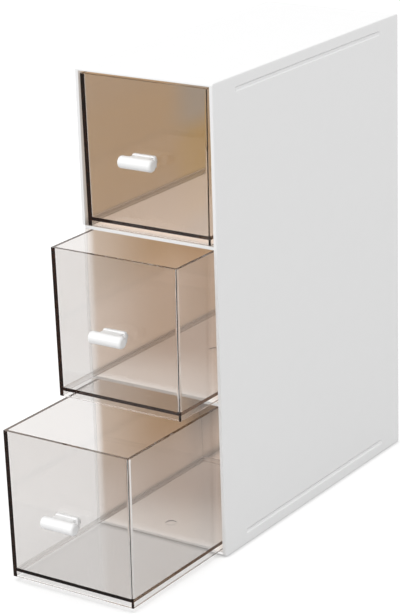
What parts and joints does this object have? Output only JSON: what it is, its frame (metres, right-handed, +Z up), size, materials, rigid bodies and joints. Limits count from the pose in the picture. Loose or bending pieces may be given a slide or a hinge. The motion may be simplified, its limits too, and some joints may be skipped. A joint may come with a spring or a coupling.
{
  "type": "coffee pod drawer organizer",
  "caption": "Tall narrow white countertop casing with a stack of clear plastic drawers for coffee pods, each with a white bar handle, standing partly open in steps.",
  "frame": {"origin": "middle of the casing's footprint, on the surface that it stands on", "axes": "+Z up, the drawers open towards -Y, +X to the right as seen from the front"},
  "size_m": [0.1152, 0.376, 0.348],
  "materials": {
    "white_plastic": "white moulded plastic, satin gloss",
    "clear_plastic": "clear moulded polystyrene, polished"
  },
  "bodies": {
    "casing": {"left_side_panel": "white_plastic", "right_side_panel": "white_plastic", "top_panel": "white_plastic", "base_panel": "white_plastic", "rear_panel": "white_plastic", "lower_shelf": "white_plastic", "upper_shelf": "white_plastic"},
    "bottom_drawer": {"bottom_drawer_tray": "clear_plastic", "bottom_drawer_handle": "white_plastic"},
    "middle_drawer": {"middle_drawer_tray": "clear_plastic", "middle_drawer_handle": "white_plastic"},
    "top_drawer": {"top_drawer_tray": "clear_plastic", "top_drawer_handle": "white_plastic"}
  },
  "joints": [
    {"name": "bottom_drawer_slide", "type": "slide", "parent": "casing", "child": "bottom_drawer", "axis": [0, -1, 0], "range_m": [-0.107, 0.073]},
    {"name": "middle_drawer_slide", "type": "slide", "parent": "casing", "child": "middle_drawer", "axis": [0, -1, 0], "range_m": [-0.043, 0.137]},
    {"name": "top_drawer_slide", "type": "slide", "parent": "casing", "child": "top_drawer", "axis": [0, -1, 0], "range_m": [0, 0.18]}
  ]
}
